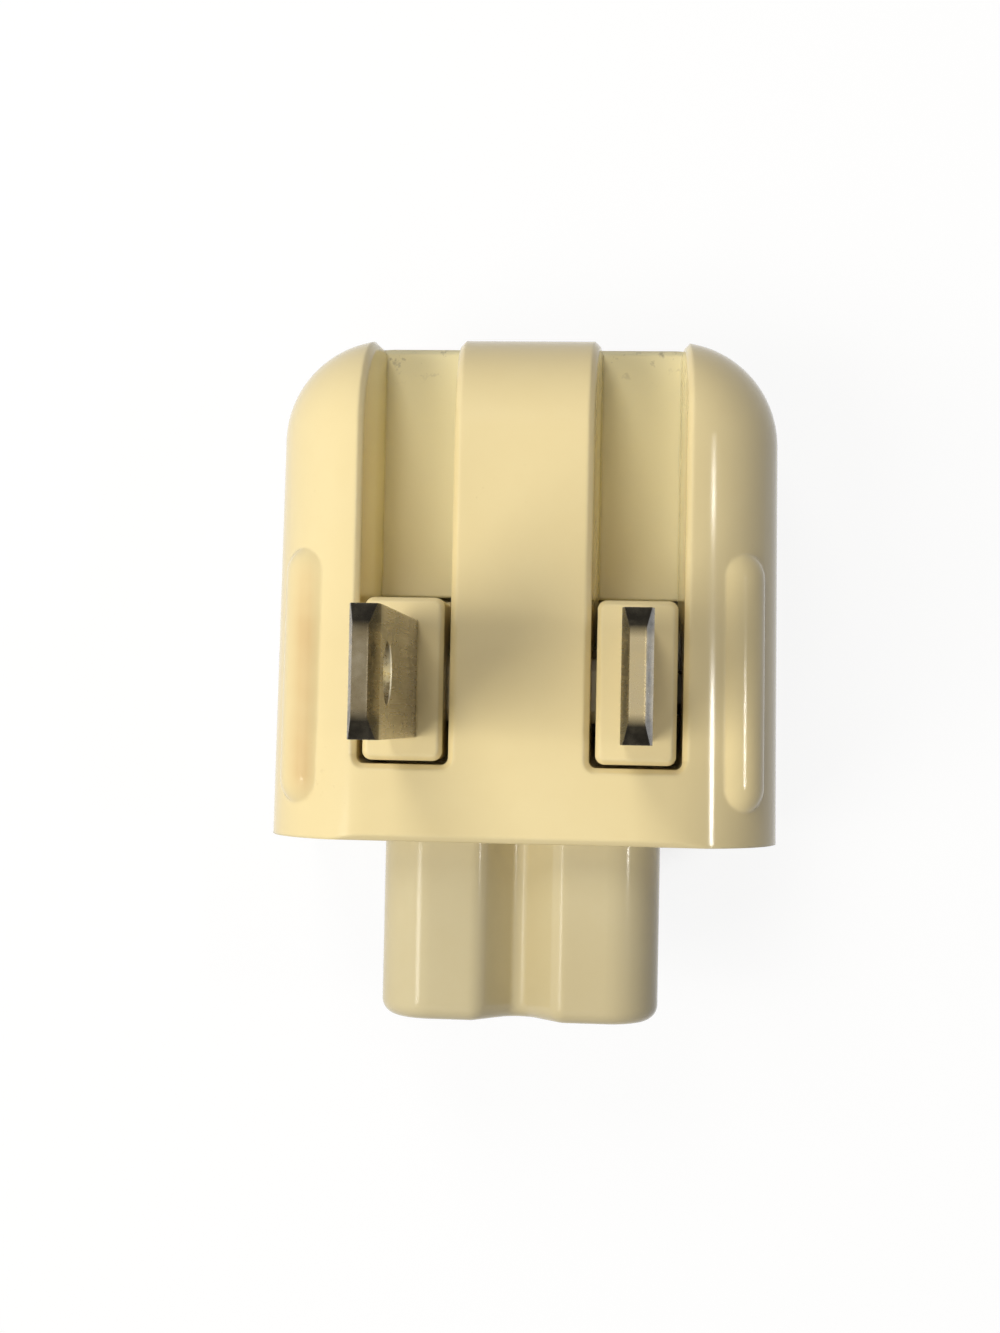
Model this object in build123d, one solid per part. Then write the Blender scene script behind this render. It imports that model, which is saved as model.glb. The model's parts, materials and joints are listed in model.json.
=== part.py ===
"""Slide-on wall plug with folding blades, lying on its flat back.

X runs across the plug, +Y toward the rounded top, +Z out of the blade face.
The origin is on the back face, under the centre line of the blades. Sizes in mm.
"""
import os
from math import asin, cos, degrees, radians, sin, sqrt, tan

from build123d import *

# body of the plug
body_width = 28.7
blade_to_top = 19.6
blade_to_base = 8.85
body_depth = 17.5
side_lean = 0.3
edge_round = 6.0
shell_wall = 1.8
base_wall = 1.5
rear_edge = 0.4
base_edge = 0.3

# grip bars on the rounded front edges
grip_length = 14.15
grip_width = 2.75
grip_height = 0.65
grip_angle = 43.0
grip_rise = 0.12

# blades
blade_pitch = 12.7
blade_width = 6.35
blade_thick = 1.5
blade_reach = 16.0
tip_corner = 1.0
tip_flat = 0.75
tip_bevel = 1.5
blade_hole = 3.1
hole_from_face = 11.9
tail_width = 5.0
tail_step = 2.0
tail_cover = 0.8

# hinge blocks and the bays they sit in
block_width = 4.36
block_height = 8.9
hinge_depth = 4.0
block_corner = 0.5
block_edge = 0.25
rear_corner = 1.6
bay_gap = 0.35
sill_gap = 0.2
bay_depth = 7.75
bay_draft = 1.7
bay_wall = 1.0
bay_edge = 0.3
bay_corner = 0.4
sweep_gap = 0.3
cutter_over = 1.0

# hinge pins and cross bar
pin_radius = 1.2
pin_fit = 0.05
pin_inset = 0.6
pin_end_gap = 0.55
pin_bevel = 0.3
bar_half = 1.8
bar_corner = 2.1
bar_gap = 0.4
bar_overlap = 0.5

# connector nose
nose_width = 15.7
nose_thick = 7.8
nose_reach = 10.15
nose_height = 10.6
nose_corner = 2.9
groove_half = 2.2
groove_depth = 2.2
groove_lip = 1.2
groove_root = 0.7
nose_end_round = 0.9
nose_gap = 0.05
flange_lip = 0.9
flange_thick = 0.8

# pin sleeves in the nose
socket_pitch = 8.6
sleeve_bore = 1.22
sleeve_wall = 0.3
sleeve_slit = 0.4
sleeve_fit = 0.03
mouth_radius = 1.45
mouth_length = 1.3
mouth_chamfer = 0.25

# rear cover with the stud slot
cover_thick = 2.0
cover_gap = 0.08
slot_neck = 6.4
slot_width = 10.4
slot_lip = 1.6
slot_height = 2.6
slot_wall = 1.0
slot_rise = 4.5

# inner frame
frame_thick = 1.1
frame_side_gap = 0.6
post_gap = 0.1
foot_size = 2.4
frame_rise = 8.0

# contact strips and detent spring
strip_thick = 0.4
strip_gap = 0.1
strip_arm = 2.0
strip_base = 2.6
strip_bend = 0.3
spring_thick = 0.3
spring_width = 3.4
spring_flat = 2.4
spring_ramp = 2.4
spring_foot = 1.2
spring_rise = 1.9

# places that follow from the sizes above
front = body_depth
half_width = body_width / 2
hinge_z = front - hinge_depth
hinge_y = hinge_depth - block_height / 2
block_top = block_height - hinge_depth
swing = sqrt(hinge_depth ** 2 + block_top ** 2)
blade_x = blade_pitch / 2
bay_width = block_width + 2 * bay_gap
bay_floor = front - bay_depth
bay_low = -block_height / 2 - sill_gap
bay_under = bay_floor - bay_wall
floor_drop = hinge_z - bay_floor
floor_start = hinge_y + sqrt(max(swing ** 2 - floor_drop ** 2, block_top ** 2)) + sweep_gap
bay_side = blade_x + bay_width / 2
bay_inner = blade_x - bay_width / 2
pin_end = bay_side + bay_wall + pin_end_gap
base_inside = -blade_to_base + base_wall
flange_top = base_inside + flange_thick
sleeve_top = flange_top + strip_gap
nose_end = -blade_to_base - nose_reach
slot_box = slot_lip + slot_height + slot_wall
frame_low = slot_box
frame_top = frame_low + frame_thick
socket_x = socket_pitch / 2
sleeve_outer = sleeve_bore + sleeve_wall


def slab(x0, x1, y0, y1, z0, z1):
    """Upright box between two opposite corners."""
    middle = Pos((x0 + x1) / 2, (y0 + y1) / 2, (z0 + z1) / 2)
    return middle * Box(x1 - x0, y1 - y0, z1 - z0)


def rod(radius, x0, x1, y, z):
    """Round bar along X."""
    return Pos((x0 + x1) / 2, y, z) * Rot(0, 90, 0) * Cylinder(radius, x1 - x0)


def post(radius, x, y0, y1, z):
    """Round bar along Y."""
    return Pos(x, (y0 + y1) / 2, z) * Rot(90, 0, 0) * Cylinder(radius, y1 - y0)


def edges_at(part, axis, y=None, z=None, x=None, near=0.01):
    """Edges along an axis whose middle lies at the given places."""
    found = ShapeList()
    for edge in part.edges().filter_by(axis):
        middle = edge.center()
        at_x = x is None or abs(middle.X - x) < near
        at_y = y is None or abs(middle.Y - y) < near
        at_z = z is None or abs(middle.Z - z) < near
        if at_x and at_y and at_z:
            found.append(edge)
    return found


def body_blank(inset, low, z_low, bevel):
    """Rounded body form, drawn in by an even inset, with a bevel round the back."""
    wide = half_width - inset
    narrow = wide - side_lean
    crown = blade_to_top - inset
    high = front - inset
    outline = Polyline((-wide, low), (wide, low), (narrow, crown), (-narrow, crown), close=True)
    blank = extrude(Pos(0, 0, z_low) * make_face(outline), high - z_low)
    if bevel > 0:
        blank = chamfer(edges_at(blank, Axis.X, y=low, z=front), base_edge)
    uprights = edges_at(blank, Axis.Z, y=crown)
    rim = blank.edges().filter_by_position(Axis.Z, high - 0.01, high + 0.01)
    blank = fillet(uprights + rim.sort_by(Axis.Y)[1:], edge_round - inset)
    if bevel > 0:
        back = blank.faces().sort_by(Axis.Z)[0]
        blank = chamfer(back.edges(), bevel)
    return blank


def grip_bar(side):
    """Raised bar with round ends along a rounded front edge."""
    radius = ((grip_width / 2) ** 2 + grip_height ** 2) / (2 * grip_height)
    sunk = edge_round + grip_height - radius
    lean = degrees(asin(side_lean / (blade_to_top + blade_to_base)))
    share = blade_to_base / (blade_to_top + blade_to_base)
    centre_x = half_width - side_lean * share - edge_round + sunk * sin(radians(grip_angle))
    centre_z = front - edge_round + sunk * cos(radians(grip_angle))
    bar = capsule(radius, (grip_length - grip_width) / 2)
    return Pos(side * centre_x, grip_rise, centre_z) * Rot(0, 0, side * lean) * bar


def capsule(radius, half):
    """Round bar along Y with a half ball on each end."""
    spine = Line((0, -half - radius), (0, half + radius))
    flank = Line((radius, -half), (radius, half))
    upper = CenterArc((0, half), radius, 0, 90)
    lower = CenterArc((0, -half), radius, -90, 90)
    return revolve(make_face([spine, flank, upper, lower]), Axis.Y)


def bay_channel(side, z_low, y_high):
    """Space of one bay, narrowing a little with depth, up to a given height."""
    x = side * blade_x
    y_low = bay_low
    lean = (front - z_low + 1.0) * tan(radians(bay_draft))
    lift = tan(radians(bay_draft))
    top_half = bay_width / 2 + lift
    low_half = top_half - lean
    corners = [
        (x - low_half, y_low, z_low),
        (x + low_half, y_low, z_low),
        (x + top_half, y_low, front + 1.0),
        (x - top_half, y_low, front + 1.0),
    ]
    face = make_face(Polyline(*corners, close=True))
    return extrude(face, y_high - y_low, dir=(0, 1, 0))


def bay_space(side):
    """Space of one bay with its pocket for the block, the lower corners rounded."""
    space = bay_channel(side, bay_floor, blade_to_top + 1)
    space += bay_channel(side, bay_under - 1, floor_start)
    uprights = ShapeList()
    for edge in space.edges():
        middle = edge.center()
        tall = edge.bounding_box().size.Z > bay_depth
        if tall and abs(middle.Y - bay_low) < 0.01:
            uprights.append(edge)
    return fillet(uprights, bay_corner)


def fall(radius, beyond):
    """Drop of a round of this radius at a distance past its start."""
    return radius - sqrt(radius ** 2 - max(0, beyond) ** 2)


def wall_bevel(wall, away):
    """Cutter for the bevel of one bay wall, along the face and over the rounded top to the floor.

    The wall's place across the plug is given, and away is the sign of the way into the material.
    """
    level = front - fall(edge_round, wall - (half_width - side_lean - edge_round))
    top = blade_to_top - fall(edge_round, wall - (half_width - side_lean - edge_round))
    start = bay_low + bay_corner
    bend = top - edge_round
    low = level - edge_round
    half_turn = edge_round * sqrt(0.5)
    face_line = Line((wall, start, level), (wall, bend, level))
    crown = ThreePointArc((wall, bend, level), (wall, bend + half_turn, low + half_turn), (wall, top, low))
    top_line = Line((wall, top, low), (wall, top, bay_floor))
    reach = bay_edge + cutter_over
    corners = [
        (wall + away * reach, start, level + cutter_over),
        (wall - away * bay_edge, start, level + cutter_over),
        (wall - away * bay_edge, start, level - 2 * bay_edge),
    ]
    section = make_face(Polyline(*corners, close=True))
    cutter = sweep(section, Wire([face_line, crown, top_line]))
    return cutter.rotate(Axis((wall, start, level), (0, 1, 0)), away * bay_draft)


def end_bevels():
    """Cutters for the bevels at the lower end of a bay and along the upper edge of its floor."""
    flare = bay_edge + cutter_over
    half = bay_width / 2 + flare
    low = bay_low - flare
    high = bay_low + bay_corner + 2 * flare
    outline = RectangleRounded(2 * half, high - low, bay_corner + flare)
    at_face = Pos(blade_x, (low + high) / 2, front + cutter_over) * outline
    sill = extrude(at_face, flare + bay_edge, dir=(0, 0, -1), taper=45)
    floor_half = bay_width / 2 - bay_depth * tan(radians(bay_draft)) + flare
    floor_low = bay_floor - flare
    floor_high = bay_floor + 2 * flare
    y = blade_to_top + cutter_over
    corners = [
        (blade_x - floor_half, y, floor_low), (blade_x + floor_half, y, floor_low),
        (blade_x + floor_half, y, floor_high), (blade_x - floor_half, y, floor_high),
    ]
    at_top = make_face(Polyline(*corners, close=True))
    return [sill, extrude(at_top, flare + bay_edge, dir=(0, -1, 0), taper=45)]


def bay_bevels(side):
    """Cutters for the bevel round the mouth of one bay."""
    cutters = [wall_bevel(bay_inner, -1), wall_bevel(bay_side, 1)] + end_bevels()
    return [mirror(cutter, Plane.YZ) if side < 0 else cutter for cutter in cutters]


def figure_eight(grow):
    """Outline of the connector nose, with a groove front and back."""
    wide = nose_width / 2
    tall = nose_thick / 2
    dip = tall - groove_depth
    corners = [
        (groove_half, tall), (wide, tall), (wide, -tall), (groove_half, -tall), (0, -dip),
        (-groove_half, -tall), (-wide, -tall), (-wide, tall), (-groove_half, tall), (0, dip),
    ]
    face = make_face(Polyline(*corners, close=True))
    ends = [v for v in face.vertices() if abs(v.X) > wide - 0.01]
    face = fillet(ends, nose_corner)
    lips = [v for v in face.vertices() if abs(abs(v.X) - groove_half) < 0.01 and abs(v.Y) > tall - 0.01]
    face = fillet(lips, groove_lip)
    roots = [v for v in face.vertices() if abs(v.X) < 0.01]
    face = fillet(roots, groove_root)
    if grow > 0:
        face = offset(face, grow)
    return face


def nose_plane(y):
    """Plane across the nose, facing down out of the body."""
    return Plane(origin=(0, y, nose_height), x_dir=(1, 0, 0), z_dir=(0, -1, 0))


def outer_shell():
    """Moulded shell with the two bays, the rib between them and the grip bars."""
    outer = body_blank(0, -blade_to_base, 0, rear_edge)
    outer += grip_bar(-1)
    outer += grip_bar(1)
    shell = outer - body_blank(shell_wall, base_inside, -1, 0)
    for side in (-1, 1):
        x = side * blade_x
        reach = bay_width / 2 + bay_wall
        low = bay_low - bay_wall
        liner = slab(x - reach, x + reach, low, blade_to_top, bay_under, front)
        shell += liner & outer
    for side in (-1, 1):
        shell -= bay_space(side)
        for cutter in bay_bevels(side):
            shell -= cutter
    shell -= bar_slot()
    for side in (-1, 1):
        shell -= pin_slot(side)
    shell -= extrude(nose_plane(base_inside + 1) * figure_eight(nose_gap), base_wall + 2)
    wide = slot_width / 2 + slot_wall + cover_gap
    shell -= slab(-wide, wide, -blade_to_base - 1, base_inside + 1, -1, slot_box + cover_gap)
    for side in (-1, 1):
        shell -= arm_relief(side)
    return shell


def arm_relief(side):
    """Room along the side wall for the arm of a contact strip."""
    inner = pin_end + strip_gap / 2
    outer = pin_end + 2 * strip_gap + strip_thick
    low = sleeve_top - strip_gap
    high = hinge_y + pin_radius + strip_gap
    top = hinge_z + pin_radius / 3 + strip_gap
    room = slab(inner, outer, low, high, frame_top - strip_gap, top)
    return mirror(room, Plane.YZ) if side < 0 else room


def bar_slot():
    """Slots in the two walls of the rib for the cross bar."""
    radius = bar_corner + bar_gap
    wide = blade_x - block_width / 2
    slot = rod(radius, -wide, wide, hinge_y, hinge_z)
    slot += slab(-wide, wide, hinge_y - radius, hinge_y + radius, bay_under - 1, hinge_z)
    return slot


def pin_slot(side):
    """Bearing slot for a hinge pin in the outer wall of a bay, open to the back."""
    radius = pin_radius + pin_fit
    x0 = blade_x + block_width / 2
    x1 = pin_end + strip_gap
    slot = rod(radius, x0, x1, hinge_y, hinge_z)
    slot += slab(x0, x1, hinge_y - radius, hinge_y + radius, bay_under - 1, hinge_z)
    return mirror(slot, Plane.YZ) if side < 0 else slot


def blade(side):
    """Flat blade with a bevelled tip, a hole and a tail in the block."""
    x = side * blade_x
    tip = front + blade_reach
    wide = blade_width / 2
    half = blade_thick / 2
    root = front - tail_step
    tail_end = hinge_z - hinge_depth + tail_cover
    tail = tail_width / 2
    side_view = Polyline(
        (x, -wide, root), (x, -wide, tip - tip_corner), (x, -wide + tip_corner, tip),
        (x, wide - tip_corner, tip), (x, wide, tip - tip_corner), (x, wide, root),
        (x, tail, root), (x, tail, tail_end), (x, -tail, tail_end), (x, -tail, root), close=True,
    )
    plate = extrude(make_face(side_view), half, dir=(1, 0, 0), both=True)
    flat = tip_flat / 2
    end_view = Polyline(
        (x - half, 0, tail_end - 1), (x - half, 0, tip - tip_bevel), (x - flat, 0, tip),
        (x + flat, 0, tip), (x + half, 0, tip - tip_bevel), (x + half, 0, tail_end - 1), close=True,
    )
    plate &= extrude(make_face(end_view), blade_width, dir=(0, 1, 0), both=True)
    plate -= rod(blade_hole / 2, x - 2, x + 2, 0, front + hole_from_face)
    plate -= rod(pin_radius, x - 2, x + 2, hinge_y, hinge_z)
    return plate


def hinge_pin(side):
    """Pin pressed through block and blade, its outer end bevelled."""
    inner = blade_x - block_width / 2 + pin_inset
    pin = rod(pin_radius, inner, pin_end, hinge_y, hinge_z)
    pin = chamfer(pin.edges().sort_by(Axis.X)[-1], pin_bevel)
    return mirror(pin, Plane.YZ) if side < 0 else pin


def hinge_block(side):
    """Block in one bay: bevelled face in front, rear round about the hinge below."""
    x = side * blade_x
    low = hinge_y - hinge_depth
    high = hinge_y + block_top
    rear = hinge_z - hinge_depth
    outline = Pos(x, (low + high) / 2, hinge_z) * RectangleRounded(block_width, block_height, block_corner)
    block = extrude(outline, hinge_depth)
    face = block.faces().sort_by(Axis.Z)[-1]
    block = chamfer(face.edges(), block_edge)
    half = block_width / 2
    heel = slab(x - half, x + half, low, high, rear, hinge_z)
    heel = fillet(edges_at(heel, Axis.X, y=low, z=rear), hinge_depth - 0.01)
    heel = chamfer(edges_at(heel, Axis.X, y=high, z=rear), rear_corner)
    return block + heel


def blade_carrier(blades, pins):
    """Both hinge blocks and the cross bar that joins them, in one moulding."""
    inner = blade_x - block_width / 2 + bar_overlap
    section = Pos(0, hinge_y, hinge_z) * Box(2 * inner, 2 * bar_half, 2 * bar_half)
    carrier = section & rod(bar_corner, -inner, inner, hinge_y, hinge_z)
    for side in (-1, 1):
        carrier += hinge_block(side)
    for piece in blades + pins:
        carrier -= piece
    return carrier


def connector_nose():
    """Figure-8 nose with a flange inside the shell and two pin bores."""
    length = nose_reach + base_wall + flange_thick
    nose = extrude(nose_plane(flange_top) * figure_eight(0), length)
    end = nose.faces().sort_by(Axis.Y)[0]
    nose = fillet(end.edges(), nose_end_round)
    wide = nose_width / 2 + flange_lip
    tall = nose_thick / 2 + flange_lip
    plate = nose_plane(flange_top) * RectangleRounded(2 * wide, 2 * tall, nose_corner)
    nose += extrude(plate, flange_thick)
    for side in (-1, 1):
        x = side * socket_x
        seat = nose_end + mouth_length
        nose -= post(mouth_radius, x, nose_end - 1, seat + 0.1, nose_height)
        nose -= post(sleeve_outer + sleeve_fit, x, seat, flange_top + 1, nose_height)
        rim = Pos(x, nose_end + mouth_chamfer / 2, nose_height) * Rot(90, 0, 0)
        nose -= rim * Cone(mouth_radius, mouth_radius + mouth_chamfer, mouth_chamfer)
    return nose


def pin_sleeve(side):
    """Rolled contact tube with a slit along it."""
    x = side * socket_x
    low = nose_end + mouth_length
    tube = post(sleeve_outer, x, low, sleeve_top, nose_height)
    tube -= post(sleeve_bore, x, low - 1, sleeve_top + 1, nose_height)
    inward = x - side * sleeve_outer
    left = min(x, inward)
    right = max(x, inward)
    half = sleeve_slit / 2
    return tube - slab(left, right, low - 1, sleeve_top + 1, nose_height - half, nose_height + half)


def bent_angle(run, rise):
    """Section of a strip with one rounded right-angle bend."""
    corners = [(0, 0), (run, 0), (run, strip_thick), (strip_thick, strip_thick), (strip_thick, rise), (0, rise)]
    face = make_face(Polyline(*corners, close=True))
    outside = [v for v in face.vertices() if abs(v.X) < 0.01 and abs(v.Y) < 0.01]
    face = fillet(outside, strip_bend + strip_thick)
    inside = [v for v in face.vertices() if abs(v.X - strip_thick) < 0.01 and abs(v.Y - strip_thick) < 0.01]
    return fillet(inside, strip_bend)


def contact_strip(side):
    """Bent strip from the sleeve, across the frame, up to the end of the hinge pin."""
    outer = pin_end + strip_gap + strip_thick
    start = socket_x - sleeve_outer
    riser = bent_angle(strip_base, nose_height - frame_top)
    turned = Plane(origin=(start, sleeve_top, frame_top), x_dir=(0, 1, 0), z_dir=(1, 0, 0))
    strip = extrude(turned * riser, 2 * sleeve_outer)
    bend = strip_bend + strip_thick
    edge = outer - bend
    top = frame_top + strip_thick
    strip += slab(start, edge, sleeve_top + bend, sleeve_top + strip_base, frame_top, top)
    run = bend + strip_gap
    height = hinge_z + pin_radius / 3 - frame_top
    leaf = bent_angle(run, height)
    root = sleeve_top + bend
    upright = Plane(origin=(outer, root, frame_top), x_dir=(-1, 0, 0), z_dir=(0, 1, 0))
    strip += extrude(upright * leaf, strip_base - bend)
    arm_end = hinge_y + pin_radius
    arm_low = frame_top + height - strip_arm
    strip += slab(outer - strip_thick, outer, root, arm_end, arm_low, frame_top + height)
    return mirror(strip, Plane.YZ) if side < 0 else strip


def spring_line():
    """Middle line of the detent spring, from foot to foot."""
    top = hinge_z - bar_corner - strip_gap - spring_thick / 2
    low = top - spring_rise
    inner = spring_flat / 2
    middle = inner + spring_ramp
    outer = middle + spring_foot
    return [(-outer, low), (-middle, low), (-inner, top), (inner, top), (middle, low), (outer, low)]


def detent_spring():
    """Bent leaf under the cross bar."""
    half = spring_thick / 2
    path = spring_line()
    slope = half * spring_rise / (spring_rise + spring_ramp)
    upper = [(y, z + half) for y, z in path]
    lower = [(y, z - half) for y, z in path]
    lower[2] = (lower[2][0] + slope / 2, lower[2][1])
    lower[3] = (lower[3][0] - slope / 2, lower[3][1])
    x0 = -spring_width / 2
    corners = [(x0, hinge_y + y, z) for y, z in upper + lower[::-1]]
    face = make_face(Polyline(*corners, close=True))
    return extrude(face, spring_width, dir=(1, 0, 0))


def inner_frame():
    """Insulating frame: bearing posts, centre pillar for the spring, plate under the strips."""
    wide = half_width - side_lean - shell_wall - cover_gap - frame_side_gap
    low = sleeve_top
    high = floor_start + frame_rise
    frame = slab(-wide, wide, low, high, frame_low, frame_top)
    saddle = pin_radius + pin_fit
    for side in (-1, 1):
        x0 = bay_side + post_gap
        x1 = bay_side + bay_wall - post_gap
        half = saddle - post_gap
        bearing = slab(x0, x1, hinge_y - half, hinge_y + half, frame_low, hinge_z)
        bearing -= rod(saddle, x0 - 1, x1 + 1, hinge_y, hinge_z)
        frame += mirror(bearing, Plane.YZ) if side < 0 else bearing
        x = side * blade_x
        rest = foot_size / 2
        foot_y = high - foot_size
        frame += slab(x - rest, x + rest, foot_y - rest, foot_y + rest, frame_low, bay_under)
    path = spring_line()
    pillar_top = path[0][1] - spring_thick / 2
    pillar_half = spring_width / 2
    y0 = hinge_y + path[0][0]
    y1 = hinge_y + path[-1][0]
    frame += slab(-pillar_half, pillar_half, y0, y1, frame_low, pillar_top)
    return frame


def rear_cover():
    """Back plate with a T-slot, open at the lower end, for the stud of the charger."""
    inset = shell_wall + cover_gap
    wide = half_width - inset
    narrow = wide - side_lean
    low = base_inside + cover_gap
    crown = blade_to_top - inset
    outline = Polyline((-wide, low), (wide, low), (narrow, crown), (-narrow, crown), close=True)
    face = make_face(outline)
    face = fillet(face.vertices().group_by(Axis.Y)[-1], edge_round - inset)
    cover = extrude(face, cover_thick)
    box = slot_width / 2 + slot_wall
    half = slot_width / 2
    cover += slab(-box, box, -blade_to_base, slot_rise, 0, slot_box)
    cover += Pos(0, slot_rise, slot_box / 2) * Cylinder(box, slot_box)
    neck = slot_neck / 2
    below = -blade_to_base - 1
    ceiling = slot_lip + slot_height
    cover -= slab(-neck, neck, below, slot_rise, -1, ceiling)
    cover -= Pos(0, slot_rise, ceiling / 2) * Cylinder(neck, ceiling)
    cover -= slab(-half, half, below, slot_rise, slot_lip, ceiling)
    cover -= Pos(0, slot_rise, slot_lip + slot_height / 2) * Cylinder(half, slot_height)
    rest = foot_size / 2
    foot_y = floor_start + frame_rise - foot_size
    for side in (-1, 1):
        x = side * blade_x
        cover += slab(x - rest, x + rest, foot_y - rest, foot_y + rest, 0, frame_low)
    return cover


def main():
    """Builds every piece and writes one file for each."""
    os.makedirs("parts", exist_ok=True)
    blades = [blade(-1), blade(1)]
    pins = [hinge_pin(-1), hinge_pin(1)]
    pieces = {
        "outer_shell": outer_shell(),
        "rear_cover": rear_cover(),
        "connector_nose": connector_nose(),
        "inner_frame": inner_frame(),
        "left_pin_sleeve": pin_sleeve(-1),
        "right_pin_sleeve": pin_sleeve(1),
        "left_contact_strip": contact_strip(-1),
        "right_contact_strip": contact_strip(1),
        "detent_spring": detent_spring(),
        "blade_carrier": blade_carrier(blades, pins),
        "left_hinge_pin": pins[0],
        "right_hinge_pin": pins[1],
        "left_blade": blades[0],
        "right_blade": blades[1],
    }
    for name, piece in pieces.items():
        export_step(piece, os.path.join("parts", name + ".step"))


main()
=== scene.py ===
import json
import math

import bpy
from mathutils import Euler, Matrix, Vector


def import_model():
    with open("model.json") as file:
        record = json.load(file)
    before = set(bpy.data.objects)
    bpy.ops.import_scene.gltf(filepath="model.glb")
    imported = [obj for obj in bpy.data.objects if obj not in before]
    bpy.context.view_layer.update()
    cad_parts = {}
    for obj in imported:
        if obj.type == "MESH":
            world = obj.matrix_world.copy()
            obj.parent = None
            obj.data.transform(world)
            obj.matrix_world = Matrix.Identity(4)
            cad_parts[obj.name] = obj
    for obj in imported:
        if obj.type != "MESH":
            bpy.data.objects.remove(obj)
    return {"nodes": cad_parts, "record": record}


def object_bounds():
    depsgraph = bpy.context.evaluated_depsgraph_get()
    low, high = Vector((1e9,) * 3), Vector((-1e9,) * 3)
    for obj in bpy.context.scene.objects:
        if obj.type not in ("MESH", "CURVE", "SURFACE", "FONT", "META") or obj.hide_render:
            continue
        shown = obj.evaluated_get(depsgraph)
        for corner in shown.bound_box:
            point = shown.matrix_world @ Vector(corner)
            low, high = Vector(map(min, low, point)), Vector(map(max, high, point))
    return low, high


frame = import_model()
cad_low, cad_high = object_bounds()

# Lengths are in metres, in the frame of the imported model:
# +X across the plug, +Y to its round top, +Z up to the blades.
MM = 0.001
TOP_Y = 19.6 * MM
FRONT_Z = 17.5 * MM
BAY_FLOOR_Z = 9.75 * MM
BAY_TINT_INNER_X = 4.0 * MM
BAY_TINT_OUTER_X = 8.8 * MM
BAY_TINT_BLUR = 0.3 * MM
HINGE_Z = 13.5 * MM
BLADE_X = 6.35 * MM
BLADE_HALF_WIDTH = 3.175 * MM
TIP_Z = 33.5 * MM
HOLE_Z = 29.4 * MM
HOLE_RADIUS = 1.55 * MM

# Camera of the photograph, for a picture of 1000 by 1333 pixels. Its turn is in degrees.
PICTURE_HEIGHT = 1333
FOCAL_PIXELS = 1847.4
SENSOR = 36.0
CAMERA_TURN = (-1.601, -4.163, -1.026)
CAMERA_PLACE = (6.208 * MM, -2.04 * MM, 117.383 * MM)
CLIP_START = 0.005
CLIP_END = 20.0

# Linear colours of the plastics: fresh, aged, worn, and dirt, which also gives painted shade in gaps and
# corners.
CREAM = ((0.79, 0.662, 0.362), (0.75, 0.605, 0.305), (0.84, 0.73, 0.44), (0.50, 0.37, 0.19))
NOSE = ((0.575, 0.500, 0.305), (0.53, 0.435, 0.235), (0.66, 0.585, 0.38), (0.36, 0.29, 0.17))
FRAME = ((0.66, 0.62, 0.52), (0.58, 0.53, 0.42), (0.74, 0.71, 0.63), (0.42, 0.37, 0.28))
PLASTIC_IOR = 1.5

# Linear colours of the metals: bright, dull and worn.
NICKEL = ((0.44, 0.385, 0.275), (0.30, 0.255, 0.17), (0.66, 0.56, 0.37))
BRASS = ((0.46, 0.32, 0.13), (0.27, 0.17, 0.065), (0.62, 0.46, 0.21))
STEEL = ((0.52, 0.52, 0.53), (0.30, 0.29, 0.29), (0.68, 0.68, 0.69))

# Linear colours of painted light, shade and reflections, and of specks of dirt in the bays.
BAY_PAINTED_LIGHT = (0.87, 0.783, 0.48)
GRIP_PAINTED_SHADE = (0.66, 0.47, 0.22)
BAY_SPECKS = (0.19, 0.145, 0.085)
TIP_PAINTED_REFLECTION = (0.50, 0.40, 0.215)
TIP_PAINTED_SHADE = (0.19, 0.15, 0.085)
TIP_PAINTED_DARK_REFLECTION = (0.018, 0.015, 0.010)
BORE_PAINTED_LIGHT = (0.92, 0.84, 0.60)
PIN_PAINTED_SHADE = (0.030, 0.024, 0.016)

# Floor and room. The bounce is the floor's colour for the light that it throws on the plug.
FLOOR_HALF = 3.0
FLOOR_DROP = 0.02 * MM
FLOOR_BOUNCE = (0.20, 0.19, 0.17, 1.0)
FLOOR_SHADED = (0.95, 0.95, 0.95, 1.0)
SHADOW_REACH = 10.0 * MM
SHADOW_SAMPLES = 16
ROOM_TINT = (1.0, 0.96, 0.90, 1.0)
ROOM_STRENGTH = 0.06
WHITE = (1.0, 1.0, 1.0, 1.0)

# Lamps face this place in the middle of the plug.
LAMP_TARGET = (0.0, 0.0, 15.0 * MM)
WARM_LIGHT = (1.0, 0.97, 0.90)
SOFT_LIGHT = (1.0, 0.98, 0.93)
STRIP_LIGHT = (1.0, 0.98, 0.94)

# Name, place, size, power in watts, colour, and whether glossy surfaces mirror it.
LAMPS = (
    ("key", (-0.266, -0.113, 0.362), (0.25, 0.25), 1.45, WARM_LIGHT, False),
    ("sheen", (-0.23, -0.066, 0.39), (0.055, 0.06), 0.062, WARM_LIGHT, True),
    ("side", (-0.40, 0.05, 0.15), (0.25, 0.25), 0.35, WARM_LIGHT, False),
    ("top", (-0.047, 0.13, 0.19), (0.065, 0.11), 0.165, SOFT_LIGHT, False),
    ("low", (-0.06, -0.36, 0.50), (0.18, 0.30), 0.52, SOFT_LIGHT, False),
    ("strip", (0.31, -0.0134, 0.32), (0.0506, 0.018), 0.16, STRIP_LIGHT, True),
    ("short_strip", (0.31, 0.066, 0.32), (0.007, 0.018), 0.042, STRIP_LIGHT, True),
)


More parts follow.
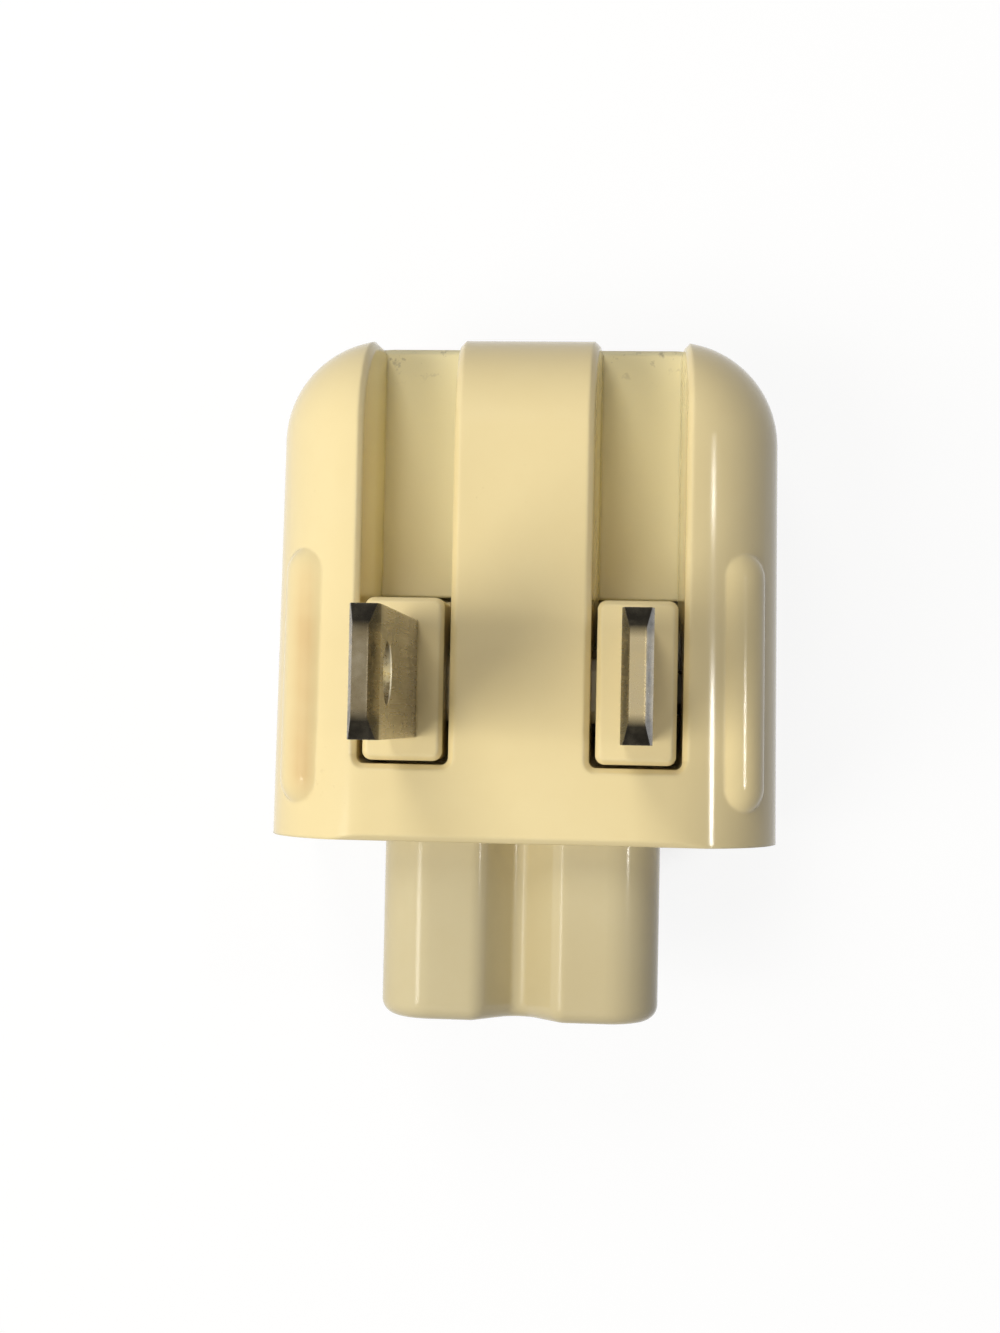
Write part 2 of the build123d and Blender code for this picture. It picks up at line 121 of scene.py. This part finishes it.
class Graph:
    """Node tree of one material, with short calls for the nodes that the looks use."""

    def __init__(self, name):
        self.material = bpy.data.materials.new(name)
        self.material.use_nodes = True
        self.tree = self.material.node_tree
        self.tree.nodes.clear()
        self.place = self.add("ShaderNodeTexCoord").outputs["Object"]
        self.geometry = self.add("ShaderNodeNewGeometry")

    def add(self, kind, **settings):
        node = self.tree.nodes.new(kind)
        for key, value in settings.items():
            setattr(node, key, value)
        return node

    def put(self, socket, value):
        """Links a socket to another one, or sets it to a number or colour."""
        if isinstance(value, bpy.types.NodeSocket):
            self.tree.links.new(value, socket)
        elif isinstance(value, tuple) and len(value) == 3 and socket.type == "RGBA":
            socket.default_value = (*value, 1.0)
        else:
            socket.default_value = value

    def math(self, operation, a, b=0.0, clamp=False):
        node = self.add("ShaderNodeMath", operation=operation, use_clamp=clamp)
        self.put(node.inputs[0], a)
        self.put(node.inputs[1], b)
        return node.outputs[0]

    def times(self, a, b):
        return self.math("MULTIPLY", a, b)

    def absolute(self, a):
        return self.math("ABSOLUTE", a)

    def ramp(self, value, low, high, to_low=0.0, to_high=1.0):
        """Straight run of a value from one range to another, held at the ends."""
        node = self.add("ShaderNodeMapRange", clamp=True)
        for socket, given in zip(node.inputs, (value, low, high, to_low, to_high)):
            self.put(socket, given)
        return node.outputs[0]

    def mix(self, share, a, b):
        """Blend of two colours. Sockets 6 and 7 are the node's colour inputs."""
        node = self.add("ShaderNodeMix", data_type="RGBA", blend_type="MIX")
        self.put(node.inputs[0], share)
        self.put(node.inputs[6], a)
        self.put(node.inputs[7], b)
        return node.outputs[2]

    def stretched(self, scale, turn=(0.0, 0.0, 0.0)):
        node = self.add("ShaderNodeMapping")
        self.put(node.inputs["Vector"], self.place)
        node.inputs["Scale"].default_value = scale
        node.inputs["Rotation"].default_value = turn
        return node.outputs["Vector"]

    def noise(self, scale, detail=3.0, roughness=0.55, where=None, warp=0.0):
        node = self.add("ShaderNodeTexNoise")
        self.put(node.inputs["Vector"], where or self.place)
        node.inputs["Scale"].default_value = scale
        node.inputs["Detail"].default_value = detail
        node.inputs["Roughness"].default_value = roughness
        node.inputs["Distortion"].default_value = warp
        return node.outputs["Fac"]

    def scratches(self, turn, share):
        """Thin lines in one direction, on a small share of the surface."""
        across, along = 2600.0, 90.0
        where = self.stretched((across, across, along), turn)
        lines = self.noise(scale=1.0, detail=2.0, roughness=0.5, where=where)
        patches = self.noise(scale=160.0, detail=1.0)
        thin = self.ramp(lines, 0.70, 0.78)
        return self.times(thin, self.ramp(patches, 0.62 - share, 0.72 - share))

    def rounded(self, radius):
        """Normal that runs round sharp edges."""
        node = self.add("ShaderNodeBevel", samples=6)
        node.inputs["Radius"].default_value = radius
        return node.outputs["Normal"]

    def edges(self, radius):
        """1 along sharp edges, 0 on open faces."""
        node = self.add("ShaderNodeVectorMath", operation="DOT_PRODUCT")
        self.put(node.inputs[0], self.rounded(radius))
        self.put(node.inputs[1], self.geometry.outputs["Normal"])
        return self.ramp(node.outputs["Value"], 0.99, 0.88)

    def crevice(self, reach):
        """1 deep in gaps and corners, 0 in the open."""
        node = self.add("ShaderNodeAmbientOcclusion", samples=6, only_local=False)
        node.inputs["Distance"].default_value = reach
        return self.ramp(node.outputs["AO"], 0.55, 0.05)

    def bump(self, height, strength, distance, normal):
        node = self.add("ShaderNodeBump")
        self.put(node.inputs["Height"], height)
        node.inputs["Strength"].default_value = strength
        node.inputs["Distance"].default_value = distance
        self.put(node.inputs["Normal"], normal)
        return node.outputs["Normal"]

    def coordinate(self, axis):
        node = self.add("ShaderNodeSeparateXYZ")
        self.put(node.inputs[0], self.place)
        return node.outputs[axis]

    def finish(self, colour, roughness, normal, **others):
        """Principled shader with these inputs. The others are set by the names of its sockets."""
        shader = self.add("ShaderNodeBsdfPrincipled")
        self.put(shader.inputs["Base Color"], colour)
        self.put(shader.inputs["Roughness"], roughness)
        self.put(shader.inputs["Normal"], normal)
        for key, value in others.items():
            self.put(shader.inputs[key], value)
        out = self.add("ShaderNodeOutputMaterial")
        self.tree.links.new(shader.outputs[0], out.inputs["Surface"])
        return self.material


def plastic(name, colours, gloss, grain, edge_radius, bays=False):
    """Moulded plastic: uneven ageing, pale rubbed edges, dirt and painted shade in corners, hairline
    scratches, faint grain.
    """
    fresh, aged, worn, dirt = colours
    g = Graph(name)
    clouds = g.noise(scale=55.0, detail=3.0, roughness=0.5)
    mottle = g.noise(scale=900.0, detail=3.0)
    colour = g.mix(g.ramp(clouds, 0.35, 0.70, to_high=0.65), fresh, aged)
    colour = g.mix(g.ramp(mottle, 0.40, 0.70, to_high=0.12), colour, aged)
    rubbed = g.ramp(g.noise(scale=420.0), 0.35, 0.60, to_low=0.35)
    edge = g.times(g.edges(edge_radius), rubbed)
    colour = g.mix(g.times(edge, 0.45), colour, worn)
    # Dirt and painted shade, darker in gaps and corners.
    dirt_and_shade_share = g.ramp(g.noise(scale=250.0), 0.35, 0.65, to_low=0.1, to_high=0.38)
    colour = g.mix(g.times(g.crevice(0.5 * MM), dirt_and_shade_share), colour, dirt)
    one_way = g.scratches(turn=(0.3, 0.9, 0.4), share=0.02)
    other_way = g.scratches(turn=(1.2, 0.2, 2.1), share=0.04)
    hair = g.math("MAXIMUM", one_way, other_way)
    colour = g.mix(g.times(hair, 0.14), colour, dirt)
    if bays:
        # Painted light low in the bays.
        colour = g.mix(painted_light_low_in_bays(g), colour, BAY_PAINTED_LIGHT)
        # Painted shade along the inner side of the left grip.
        colour = g.mix(left_grip_painted_shade(g), colour, GRIP_PAINTED_SHADE)
        colour = g.mix(bay_specks(g), colour, BAY_SPECKS)
    smears = g.noise(scale=110.0, detail=2.0, roughness=0.5)
    rough = g.ramp(smears, 0.30, 0.75, to_low=gloss - 0.03, to_high=gloss + 0.05)
    rough = g.math("ADD", rough, g.times(hair, 0.10))
    rough = g.math("ADD", rough, g.times(edge, 0.06), clamp=True)
    fine = g.noise(scale=2600.0, detail=2.0)
    waves = g.noise(scale=300.0, detail=1.0)
    height = g.math("ADD", fine, g.times(waves, 0.2))
    height = g.math("SUBTRACT", height, g.times(hair, 0.4))
    normal = g.bump(height, strength=grain, distance=0.02 * MM, normal=g.rounded(edge_radius))
    return g.finish(colour, rough, normal, IOR=PLASTIC_IOR)


def in_bays(g):
    """1 between the outer and inner walls of the bays and down to their floors."""
    across = g.absolute(g.coordinate("X"))
    outer = g.ramp(across, BAY_TINT_OUTER_X + BAY_TINT_BLUR, BAY_TINT_OUTER_X)
    inner = g.ramp(across, BAY_TINT_INNER_X - BAY_TINT_BLUR, BAY_TINT_INNER_X)
    above = g.ramp(g.coordinate("Z"), BAY_FLOOR_Z - 0.6 * MM, BAY_FLOOR_Z - 0.1 * MM)
    return g.times(g.times(outer, inner), above)


def painted_light_low_in_bays(g):
    """1 low in the bays, for painted light that makes the plastic paler and greyer."""
    low = g.ramp(g.coordinate("Z"), FRONT_Z - 1.0 * MM, FRONT_Z - 4.5 * MM)
    return g.times(in_bays(g), low)


def left_grip_painted_shade(g):
    """Uneven share along the inner side of the left grip, for painted shade that makes it browner."""
    x = g.coordinate("X")
    across = g.times(g.ramp(x, -13.0 * MM, -12.2 * MM), g.ramp(x, -11.1 * MM, -11.7 * MM))
    along = g.ramp(g.absolute(g.coordinate("Y")), 6.9 * MM, 5.4 * MM)
    uneven = g.ramp(g.noise(scale=260.0, detail=2.0), 0.30, 0.65, to_low=0.45, to_high=0.85)
    return g.times(g.times(across, along), uneven)


def bay_specks(g):
    """Small specks where the bays run out at the round top."""
    near_top = g.ramp(g.coordinate("Y"), TOP_Y - 2.2 * MM, TOP_Y - 0.4 * MM)
    near_floor = g.ramp(g.coordinate("Z"), FRONT_Z - 2.5 * MM, BAY_FLOOR_Z + 1.5 * MM)
    place = g.times(in_bays(g), g.times(near_top, near_floor))
    specks = g.ramp(g.noise(scale=1300.0, detail=3.0, roughness=0.7), 0.60, 0.70)
    return g.times(place, g.times(specks, 0.5))


def metal(name, colours, gloss, along, edge_radius, painted_looks=None):
    """Drawn metal: fine lines along one axis, cloudy tarnish and brighter rubbed edges."""
    bright, dull, worn = colours
    g = Graph(name)
    across_lines, along_lines = 3200.0, 60.0
    fine = [across_lines] * 3
    fine["XYZ".index(along)] = along_lines
    lines = g.noise(scale=1.0, detail=4.0, roughness=0.6, where=g.stretched(fine))
    clouds = g.noise(scale=330.0, detail=4.0, roughness=0.6, warp=0.5)
    colour = g.mix(g.ramp(clouds, 0.42, 0.75, to_high=0.7), bright, dull)
    colour = g.mix(g.ramp(lines, 0.45, 0.70, to_high=0.22), colour, dull)
    rubbed = g.ramp(g.noise(scale=800.0), 0.35, 0.65, to_low=0.2, to_high=0.9)
    colour = g.mix(g.times(g.edges(edge_radius), rubbed), colour, worn)
    rough = g.ramp(lines, 0.30, 0.75, to_low=gloss - 0.08, to_high=gloss + 0.10)
    rough = g.math("ADD", rough, g.ramp(clouds, 0.45, 0.75, to_high=0.10), clamp=True)
    # Painted light, shade and reflections of some parts are added here.
    if painted_looks:
        colour = painted_looks(g, colour)
    normal = g.bump(lines, strength=0.35, distance=0.01 * MM, normal=g.rounded(edge_radius))
    return g.finish(colour, rough, normal, Metallic=1.0)


def blade_painted_light_and_shade(g, colour):
    """Painted reflection on a blade's end, darker on the left by painted shade, black at bevels and corners,
    with painted light in the hole.
    """
    x = g.coordinate("X")
    y = g.absolute(g.coordinate("Y"))
    z = g.coordinate("Z")
    uneven = g.noise(scale=900.0, detail=3.0, roughness=0.6)

    # Painted reflection dulls the end face, and painted shade makes the left blade's end darker.
    end = g.ramp(z, TIP_Z - 0.5 * MM, TIP_Z - 0.05 * MM)
    dull = g.mix(g.ramp(x, -4.0 * MM, 4.0 * MM), TIP_PAINTED_SHADE, TIP_PAINTED_REFLECTION)
    colour = g.mix(g.times(end, g.ramp(uneven, 0.30, 0.70, to_low=0.6)), colour, dull)

    # Painted dark reflection at the bevels and corners of the end.
    off_middle = g.absolute(g.math("SUBTRACT", g.absolute(x), BLADE_X))
    thick = g.ramp(off_middle, 0.34 * MM, 0.46 * MM)
    bevel = g.times(thick, g.ramp(z, TIP_Z - 1.5 * MM, TIP_Z - 0.7 * MM))
    black = g.ramp(uneven, 0.30, 0.65, to_low=0.45, to_high=0.9)
    colour = g.mix(g.times(bevel, black), colour, TIP_PAINTED_DARK_REFLECTION)

    wide = g.ramp(y, BLADE_HALF_WIDTH - 1.45 * MM, BLADE_HALF_WIDTH - 0.85 * MM)
    corner = g.times(wide, g.ramp(z, TIP_Z - 2.6 * MM, TIP_Z - 0.9 * MM))
    colour = g.mix(g.times(corner, g.ramp(uneven, 0.25, 0.60, to_low=0.9)), colour, TIP_PAINTED_DARK_REFLECTION)

    # Painted light on the wall of the hole.
    up = g.math("SUBTRACT", z, HOLE_Z)
    squares = g.math("ADD", g.math("POWER", y, 2.0), g.math("POWER", up, 2.0))
    wall = g.ramp(g.math("SQRT", squares), HOLE_RADIUS + 0.05 * MM, HOLE_RADIUS + 0.02 * MM)
    bore = g.times(wall, g.ramp(y, 1.2 * MM, 0.5 * MM))
    return g.mix(bore, colour, BORE_PAINTED_LIGHT)


def pins_painted_shade(g, colour):
    """Painted shade on the hinge pins, where the gaps beside the blocks are dark."""
    high = g.ramp(g.coordinate("Z"), HINGE_Z - 2.0 * MM, HINGE_Z - 1.5 * MM)
    near = g.ramp(g.absolute(g.coordinate("Y")), 3.0 * MM, 2.0 * MM)
    return g.mix(g.times(high, near), colour, PIN_PAINTED_SHADE)


def dress():
    """Gives every CAD node its material."""
    looks = {
        "shell_plastic": (plastic, CREAM, dict(gloss=0.12, grain=0.02, edge_radius=0.30 * MM, bays=True)),
        "cover_plastic": (plastic, CREAM, dict(gloss=0.36, grain=0.22, edge_radius=0.15 * MM)),
        "nose_plastic": (plastic, NOSE, dict(gloss=0.11, grain=0.03, edge_radius=0.20 * MM)),
        "frame_plastic": (plastic, FRAME, dict(gloss=0.50, grain=0.30, edge_radius=0.10 * MM)),
        "carrier_plastic": (plastic, CREAM, dict(gloss=0.14, grain=0.04, edge_radius=0.25 * MM)),
        "contact_brass": (metal, BRASS, dict(gloss=0.32, along="Y", edge_radius=0.06 * MM, painted_looks=pins_painted_shade)),
        "spring_steel": (metal, STEEL, dict(gloss=0.28, along="Y", edge_radius=0.05 * MM)),
        "blade_metal": (metal, NICKEL, dict(gloss=0.26, along="Z", edge_radius=0.12 * MM, painted_looks=blade_painted_light_and_shade)),
    }
    made = {slot: make(slot, colours, **settings) for slot, (make, colours, settings) in looks.items()}
    for part in frame["record"]["subparts"]:
        mesh = frame["nodes"][part["node"]].data
        mesh.materials.clear()
        mesh.materials.append(made[part["material_slot"]])


def background_rays(tree):
    """1 for rays from the camera and for mirrored or refracted ones, 0 for light that falls on surfaces."""
    path = tree.nodes.new("ShaderNodeLightPath")
    total = path.outputs["Is Camera Ray"]
    for name in ("Is Glossy Ray", "Is Transmission Ray"):
        node = tree.nodes.new("ShaderNodeMath")
        node.operation = "MAXIMUM"
        tree.links.new(total, node.inputs[0])
        tree.links.new(path.outputs[name], node.inputs[1])
        total = node.outputs[0]
    return total


def blend(tree, share, first, second):
    """Mix of two shaders."""
    node = tree.nodes.new("ShaderNodeMixShader")
    for socket, source in zip(node.inputs, (share, first, second)):
        tree.links.new(source, socket)
    return node.outputs[0]


def span(tree, source, low, high, to_low, to_high):
    """Map Range node on a socket."""
    node = tree.nodes.new("ShaderNodeMapRange")
    tree.links.new(source, node.inputs[0])
    for socket, value in zip(node.inputs[1:5], (low, high, to_low, to_high)):
        socket.default_value = value
    return node


def open_floor(tree):
    """Share of white on the floor: all of it far off, most near the plug, little under the plug."""
    cover = tree.nodes.new("ShaderNodeAmbientOcclusion")
    cover.samples = SHADOW_SAMPLES
    cover.inputs["Distance"].default_value = SHADOW_REACH
    near = span(tree, cover.outputs["AO"], 0.05, 0.50, to_low=0.25, to_high=0.90)
    away = tree.nodes.new("ShaderNodeVectorMath")
    away.operation = "LENGTH"
    tree.links.new(tree.nodes.new("ShaderNodeTexCoord").outputs["Object"], away.inputs[0])
    share = span(tree, away.outputs["Value"], 0.05, 0.20, to_low=0.0, to_high=1.0)
    to_low = share.inputs[3]
    tree.links.new(near.outputs[0], to_low)
    return share.outputs[0]


def floor():
    """Wide pale floor that looks white and keeps a soft shadow of the plug."""
    half = FLOOR_HALF
    mesh = bpy.data.meshes.new("floor")
    corners = [(-half, -half, 0.0), (half, -half, 0.0), (half, half, 0.0), (-half, half, 0.0)]
    mesh.from_pydata(corners, [], [(0, 1, 2, 3)])
    plate = bpy.data.objects.new("floor", mesh)
    plate.location.z = cad_low.z - FLOOR_DROP
    bpy.context.scene.collection.objects.link(plate)
    material = bpy.data.materials.new("floor")
    material.use_nodes = True
    tree = material.node_tree
    tree.nodes.clear()
    bounce = tree.nodes.new("ShaderNodeBsdfDiffuse")
    bounce.inputs["Color"].default_value = FLOOR_BOUNCE
    shaded = tree.nodes.new("ShaderNodeBsdfDiffuse")
    shaded.inputs["Color"].default_value = FLOOR_SHADED
    white = tree.nodes.new("ShaderNodeEmission")
    white.inputs["Strength"].default_value = 1.0
    seen = blend(tree, open_floor(tree), shaded.outputs[0], white.outputs[0])
    surface = blend(tree, background_rays(tree), bounce.outputs[0], seen)
    out = tree.nodes.new("ShaderNodeOutputMaterial")
    tree.links.new(surface, out.inputs["Surface"])
    mesh.materials.append(material)


def world():
    """Dim even room light, white where the camera or a mirror looks past the floor."""
    room = bpy.data.worlds.new("studio")
    room.use_nodes = True
    bpy.context.scene.world = room
    tree = room.node_tree
    tree.nodes.clear()
    dim = tree.nodes.new("ShaderNodeBackground")
    dim.inputs["Color"].default_value = ROOM_TINT
    dim.inputs["Strength"].default_value = ROOM_STRENGTH
    white = tree.nodes.new("ShaderNodeBackground")
    white.inputs["Color"].default_value = WHITE
    white.inputs["Strength"].default_value = 1.0
    surface = blend(tree, background_rays(tree), dim.outputs[0], white.outputs[0])
    out = tree.nodes.new("ShaderNodeOutputWorld")
    tree.links.new(surface, out.inputs["Surface"])


def lamp(name, place, size, power, colour, mirrored):
    """Flat soft lamp that faces the plug, seen in glossy surfaces only if mirrored."""
    data = bpy.data.lights.new(name, "AREA")
    data.shape = "RECTANGLE"
    data.size, data.size_y = size
    data.energy = power
    data.color = colour
    obj = bpy.data.objects.new(name, data)
    obj.location = place
    turn = (Vector(LAMP_TARGET) - Vector(place)).to_track_quat("-Z", "Y")
    obj.rotation_euler = turn.to_euler()
    obj.visible_glossy = mirrored
    bpy.context.scene.collection.objects.link(obj)


def lamps():
    """Key and sheen from the lower left, a side fill, one lamp above each end, strips on the right."""
    for row in LAMPS:
        lamp(*row)


def camera():
    """Camera of the photograph. The sensor's width stands for the picture's longer side, its height."""
    data = bpy.data.cameras.new("camera")
    data.sensor_width = SENSOR
    data.lens = FOCAL_PIXELS / PICTURE_HEIGHT * SENSOR
    data.clip_start = CLIP_START
    data.clip_end = CLIP_END
    obj = bpy.data.objects.new("camera", data)
    turn = Euler([math.radians(angle) for angle in CAMERA_TURN], "XYZ").to_matrix().transposed()
    obj.matrix_world = Matrix.Translation(CAMERA_PLACE) @ turn.to_4x4()
    bpy.context.scene.collection.objects.link(obj)
    bpy.context.scene.camera = obj


bpy.context.scene.view_settings.view_transform = "Standard"
dress()
floor()
world()
lamps()
camera()
